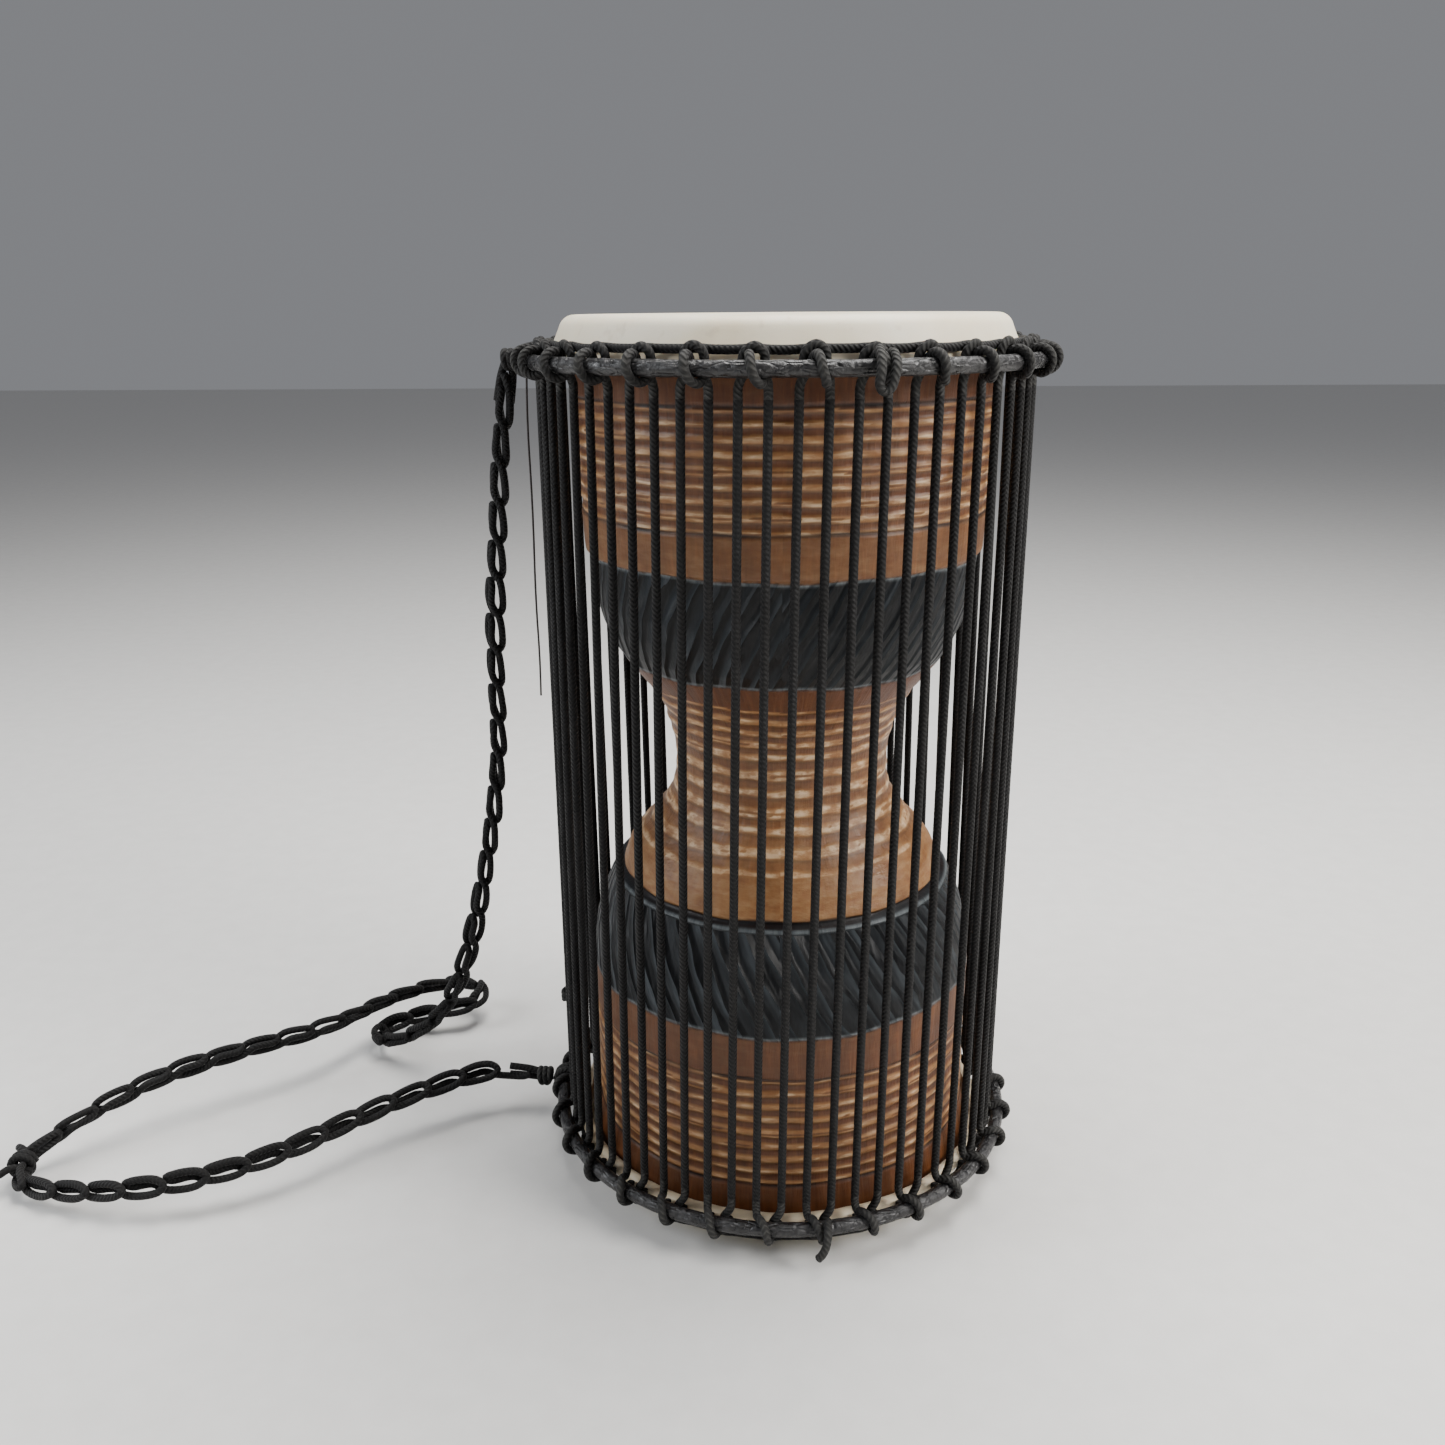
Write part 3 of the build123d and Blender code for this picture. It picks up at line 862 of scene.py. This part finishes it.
def head(material, top):
    """A skin: flat, rounded over the shell's edge, then pulled down to its hoop in soft pleats."""
    end, around = "top" if top else "bottom", 360
    ripple = [rng.uniform(-1, 1) for _ in range(7)]
    rows, edge = [], []
    for r, d, brown in head_profile(0.0200 if top else 0.0155):
        row = []
        for i in range(around):
            a = 360 * i / around
            pleat = sum(x * math.sin(math.radians(a * n) + x * 9)
                        for x, n in zip(ripple, (11, 17, 23, 30, 37, 46, 60)))
            row.append(at(a, r + 0.00016 * pleat * brown, HEIGHT - d if top else d))
            # Painted shade: the skin browns down its slope and round the hoop, on the side turned from the
            # light, varied with the pleats.
            edge.append(brown * (0.75 + 0.06 * pleat))
        rows.append(row)
    u, v = [k * 0.01 for k in range(len(rows) + 1)], [i / around for i in range(around + 1)]
    piece = grid_mesh(f"{end}_head", rows, u, v, material, {"edge": edge}, flip=not top)
    place(piece, "drum", "goatskin", f"{end}_skin")


# --- Shell ----------------------------------------------------------------------------------------

# Heights and sizes in millimetres. The wall is smooth from one height and radius to the next.
WALL = [
    (8, 105.0), (20, 103.0), (28.2, 101.4), (58, 101.3), (87.7, 101.0), (111, 101.2), (122, 100.6),
    (132, 99.4), (143, 96.6), (152.8, 92.6), (161.4, 88.5), (162.6, 87.2), (163.0, 84.2), (166.2, 83.4),
    (175, 80.0), (182.3, 74.4), (191.6, 66.4), (201.2, 59.4), (208.9, 56.5), (218.8, 55.2),
    (228.2, 55.4), (238.6, 57.3), (251.4, 60.9), (265.8, 70.6), (276, 78.6), (285, 84.9), (297, 90.2),
    (308, 93.4), (320, 95.0), (331.4, 96.0), (332.6, 97.6), (352, 99.0), (380, 100.8), (405.5, 102.4),
    (421.4, 103.0), (433.4, 105.0),
]
BORE = [(94.0, 440.4), (90.0, 350.0), (74.0, 300.0), (55.0, 262.0), (45.0, 221.0), (55.0, 178.0),
        (76.0, 135.0), (90.0, 95.0), (94.0, 1.0)]      # radius and height, from the top down
RIMS = [(103.6, 436.9), (99.0, 440.4), *BORE, (99.0, 1.0), (103.6, 4.5)]
LINES = [28.9, 88.4, 163.4, 351.9, 405.5]              # narrow dark lines
WAIST_RINGS = [182.8, 191.6, 201.2, 208.9, 218.8, 228.2, 238.6, 245.2, 251.4, 258.8, 265.8]
FLUTES = [(29.6, 87.7, 8), (352.6, 404.8, 8)]          # from, to and how many
BANDS = [(111.0, 164.6, -1), (278.3, 331.4, 1)]        # from, to and which way the gouges lean
SHOULDER, SHOULDER_RIM = 150.0, 161.4                  # the lower band's, and its pale worn edge
# How pale the wood is between its carved marks, by height: partly the wood's own tone, partly painted light
# on the lower waist, which faces up, and painted shade on the upper waist, which faces down.
PLAIN_TONE = [(0, 0.10), (88, 0.12), (111, 0.16), (164, 0.62), (186, 0.58), (215, 0.45), (240, 0.26),
              (262, 0.10), (278, 0.06), (331, 0.34), (349, 0.30), (356, 0.22), (405, 0.10),
              (HEIGHT / MM, 0.10)]


def by_height(table, z):
    """The value at a height, from a table of heights and values."""
    return float(np.interp(z, *zip(*table)))


def troughs():
    """Each carved hollow's lower edge, upper edge and depth: the bowls' flutes and the waist's rings."""
    out = []
    for low, high, n in FLUTES:
        out += [(low + (high - low) * i / n, low + (high - low) * (i + 1) / n, 1.35) for i in range(n)]
    return out + [(low, high, 0.75) for low, high in zip(WAIST_RINGS, WAIST_RINGS[1:])]


def shell(material):
    """The carved hourglass, every groove and flute cut a little unevenly round the drum."""
    around, step = 300, 0.8
    foot, brim = WALL[0][0], WALL[-1][0]
    count = int((brim - foot) / step)
    waves = {z: [rng.uniform(0, 6.3) for _ in range(4)] for z in LINES}
    hollows = [(*t, rng.uniform(0, 6.3), rng.uniform(0.8, 1.2)) for t in troughs()]
    values = {name: [] for name in SHELL_VALUES}
    rows, heights = [], []
    for i in range(count + 1):
        z = foot + (brim - foot) * i / count
        wall_r = by_height(WALL, z)
        row = []
        for a in range(around):
            angle = 2 * math.pi * a / around
            cut, tone, dark = carving(z, angle, waves, hollows)
            band, lean, pale = charring(z, angle)
            wobble = 0.22 * math.sin(angle * 9 + z * 0.21) * math.sin(angle * 4 - z * 0.13 + 1)
            row.append(at(math.degrees(angle), (wall_r + wobble - cut - 0.25 * band) * MM, z * MM))
            for key, value in zip(SHELL_VALUES, (tone, band, lean, dark, pale)):
                values[key].append(value)
        rows.append(row)
        heights.append(z * MM)
    for r, z in RIMS:
        rows.append([at(360 * a / around, r * MM, z * MM) for a in range(around)])
        heights.append(z * MM)
    for column in values.values():
        column += [0.0] * (len(RIMS) * around)
    piece = shell_mesh(rows, heights, around, material, values)
    place(piece, "drum", "shell_wood", "shell")


def carving(z, angle, waves, hollows):
    """How deep the wood is cut at a place, how pale it is there and how dark, painted highlights and painted
    shade on the carving included.
    """
    cut, tone, dark = 0.0, by_height(PLAIN_TONE, z), 0.0
    for line in LINES:
        if abs(z - line) > 3:
            continue
        w = waves[line]
        wander = 0.35 * math.sin(3 * angle + w[0]) + 0.25 * math.sin(11 * angle + w[1])
        near = 1 - abs(z - line - wander) / 1.15
        if near > 0:
            cut += near * (1.1 + 0.3 * math.sin(7 * angle + w[2]))
            dark = max(dark, min(1, near * 1.7) * (0.75 + 0.2 * math.sin(13 * angle + w[3])))
    for low, high, depth, seed, size in hollows:
        wander = (0.45 * math.sin(2 * angle + seed) + 0.3 * math.sin(7 * angle + seed * 3)
                  + 0.2 * math.sin(19 * angle + seed))
        t = (z + wander - low) / (high - low)
        if 0 <= t < 1:
            chip = 0.85 + 0.2 * math.sin(angle * 31 + seed * 5) * math.sin(angle * 12 + seed)
            cut += depth * size * chip * math.sin(math.pi * t) ** 0.8
            # The pale strip at each ridge is partly the cut wood's paler tone and partly a painted highlight
            # where the cut faces the light; the wood is darker inside the hollow.
            facet = 0.5 + 0.5 * math.sin(angle * 23 + seed * 7) * math.sin(angle * 9 + seed)
            ridge = min(t, 1 - t)
            strip = max(0.0, 1 - max(0.0, ridge - 0.17) / (0.10 + 0.10 * facet)) * (0.65 + 0.35 * facet)
            tone = tone * 0.7 + (1 - tone * 0.7) * strip * min(1.0, 0.75 + tone)
            # Painted shade: a dark line in the hollow, just below its upper ridge.
            dark = max(dark, 0.55 * max(0.0, 1 - abs(t - 0.70) / 0.14) * (0.5 + 0.5 * facet))
    return cut, tone, dark


def charring(z, angle):
    """How charred a place is, which way its gouges lean, and its pale worn edge."""
    for low, high, lean in BANDS:
        wander = 0.5 * math.sin(5 * angle + low) + 0.35 * math.sin(14 * angle)
        edge = min(z - low - wander, high - z - wander)
        if edge > -1:
            rim = z - SHOULDER_RIM if lean < 0 and z >= SHOULDER else edge - 0.7
            if lean < 0 and z > SHOULDER_RIM - 0.6:
                lean = 0
            return min(1.0, max(0.0, edge / 0.8 + 0.5)), lean, max(0.0, 1 - abs(rim) / 1.1)
    return 0.0, 0, 0.0


def shell_mesh(rows, heights, around, material, attributes):
    """The shell's mesh, with texture coordinates in metres round the drum and up it."""
    girth = 0.62
    verts = [tuple(p) for row in rows for p in row]
    faces, uvs = [], []
    for corners in quads(len(rows), around, True):
        faces.append([r % len(rows) * around + c % around for r, c in corners])
        uvs += [(girth * c / around, heights[r % len(rows)]) for r, c in corners]
    return finish_mesh("shell_carved", verts, faces, uvs, material, attributes)


# --- The drum -------------------------------------------------------------------------------------

camera()
studio()
floor()
cord_black = rope_material("black_cord", (0.0022, 0.0018, 0.0020), (0.13, 0.128, 0.118), 0.75)
strap_black = rope_material("strap_cord", (0.0026, 0.0023, 0.0026), (0.11, 0.108, 0.10), 0.4)
strap(strap_black)
loose_thread(plain_material("thread", (0.010, 0.006, 0.006), (0.030, 0.020, 0.018), 0.6, 800))
tension_cords(cord_black)
for upper in (True, False):
    ring_turns(cord_black, upper)
    crown(cord_black, upper)
front_knot(cord_black)
cord_tail(cord_black)
cord_splice(cord_black)
strap_tie(cord_black, "top", -96.0, Z_HIGH - 0.001, Z_HIGH)
strap_tie(cord_black, "bottom", -92.2, Z_LOW, Z_LOW)
hide, goatskin = hide_material(), skin_material()
for upper in (True, False):
    ring_wrap(hide, upper)
    head(goatskin, upper)
shell(wood_material())

steel = plain_material("ring_steel", (0.30, 0.30, 0.31), (0.45, 0.45, 0.46), 0.35, 300, 1.0)
cane = plain_material("hoop_cane", (0.30, 0.20, 0.11), (0.46, 0.33, 0.19), 0.6, 240)
for end in ("top", "bottom"):
    for node, material in ((f"{end}_ring_rod", steel), (f"{end}_flesh_hoop", cane)):
        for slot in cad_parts[node].material_slots:
            slot.material = material
